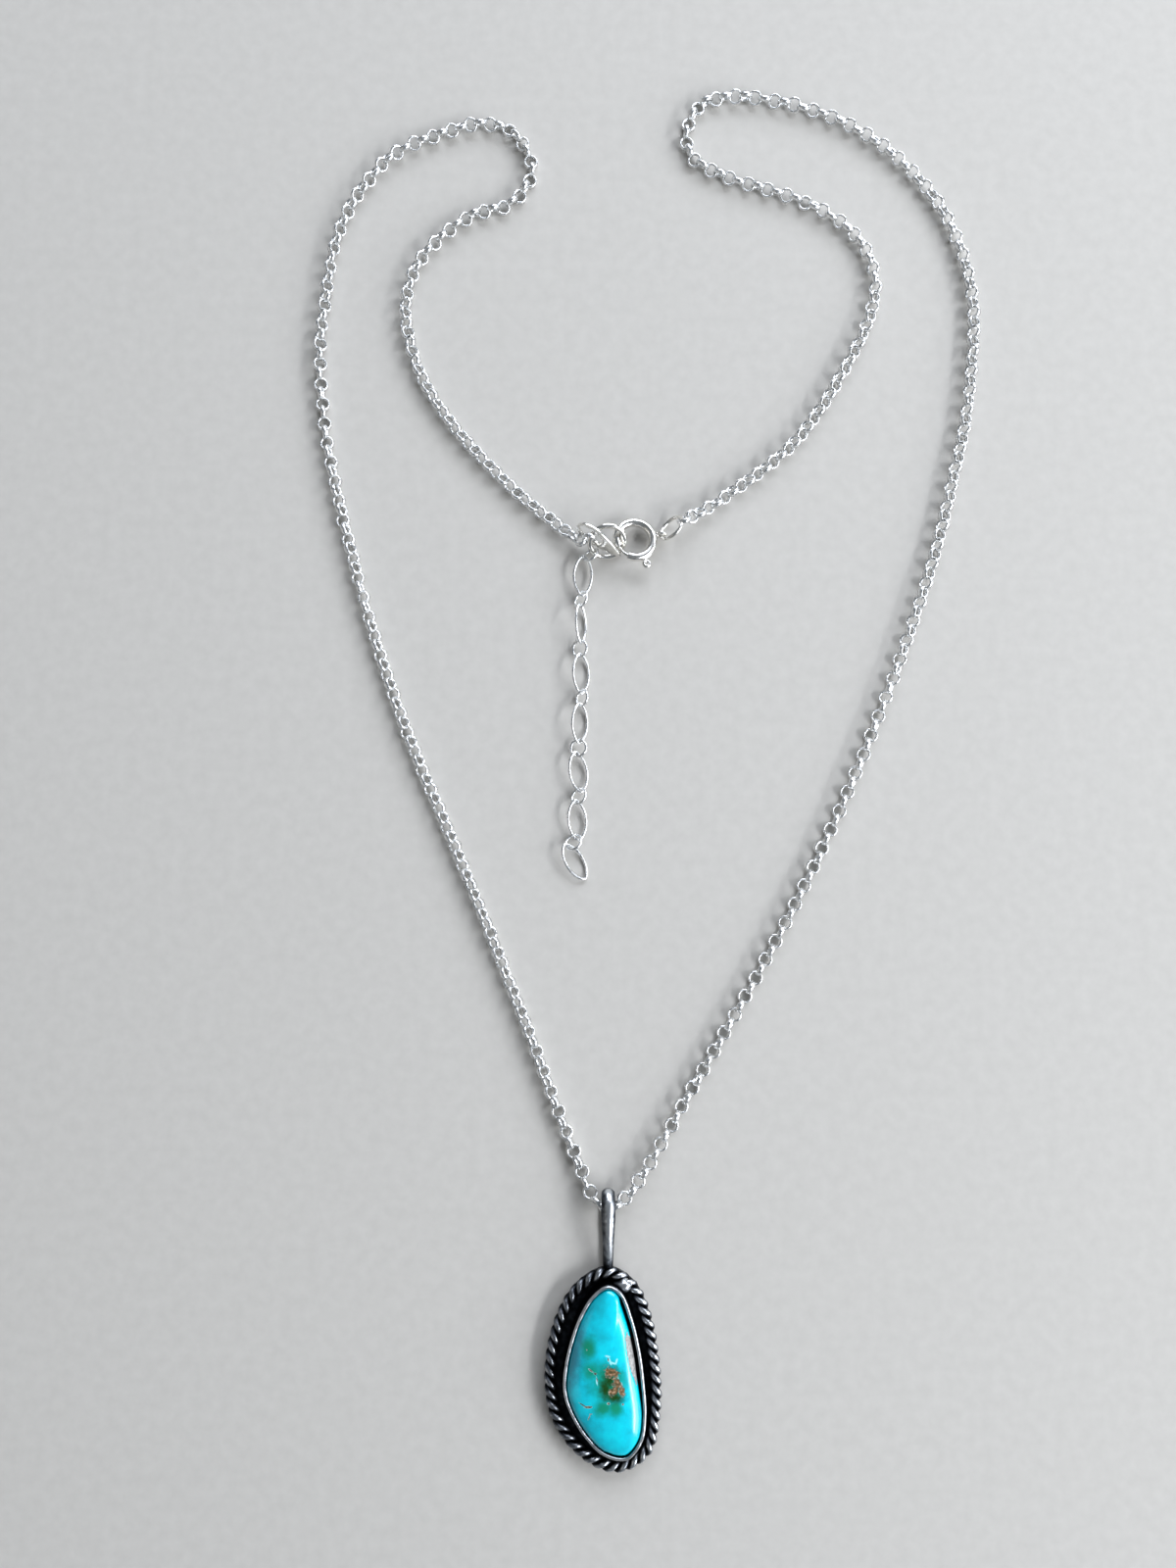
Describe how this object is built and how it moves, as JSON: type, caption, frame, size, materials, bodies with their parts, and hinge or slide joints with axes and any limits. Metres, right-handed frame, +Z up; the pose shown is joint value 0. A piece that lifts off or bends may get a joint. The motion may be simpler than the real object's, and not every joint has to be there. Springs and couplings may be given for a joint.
{
  "type": "turquoise necklace",
  "caption": "Teardrop turquoise cabochon in a silver bezel with a twisted-wire border and bail, on a rolo chain with a spring ring clasp and extender chain.",
  "frame": {"origin": "middle of the necklace's footprint as it lies, on the surface it lies on", "axes": "+Z up from the surface, +Y from the pendant to the curls of the chain, +X to the right seen from above"},
  "size_m": [0.0865, 0.1749, 0.0045],
  "materials": {
    "sterling_silver": "polished",
    "oxidised_silver": "oxidised, burnished on the high places",
    "turquoise": "polished"
  },
  "bodies": {
    "necklace": {"rolo_chain": "sterling_silver", "jump_ring_large": "sterling_silver", "jump_ring_small": "sterling_silver", "spring_ring_body": "sterling_silver", "quality_tag": "sterling_silver", "long_link_1": "sterling_silver", "long_link_2": "sterling_silver", "long_link_3": "sterling_silver", "long_link_4": "sterling_silver", "long_link_5": "sterling_silver", "long_link_6": "sterling_silver", "long_link_7": "sterling_silver", "short_link_1": "sterling_silver", "short_link_2": "sterling_silver", "short_link_3": "sterling_silver", "short_link_4": "sterling_silver", "short_link_5": "sterling_silver", "short_link_6": "sterling_silver", "short_link_7": "sterling_silver", "pendant_setting": "oxidised_silver", "turquoise_stone": "turquoise"},
    "clasp_trigger": {"spring_ring_trigger": "sterling_silver"}
  },
  "joints": [
    {"name": "clasp_trigger_turn", "type": "hinge", "parent": "necklace", "child": "clasp_trigger", "pos_m": [-0.00136, 0.02659, 0.00143], "axis": [0.1432, 0.1271, 0.9815], "range_deg": [0, 50], "stiffness_Nm_per_rad": 0.003, "springref_deg": -17.19}
  ]
}
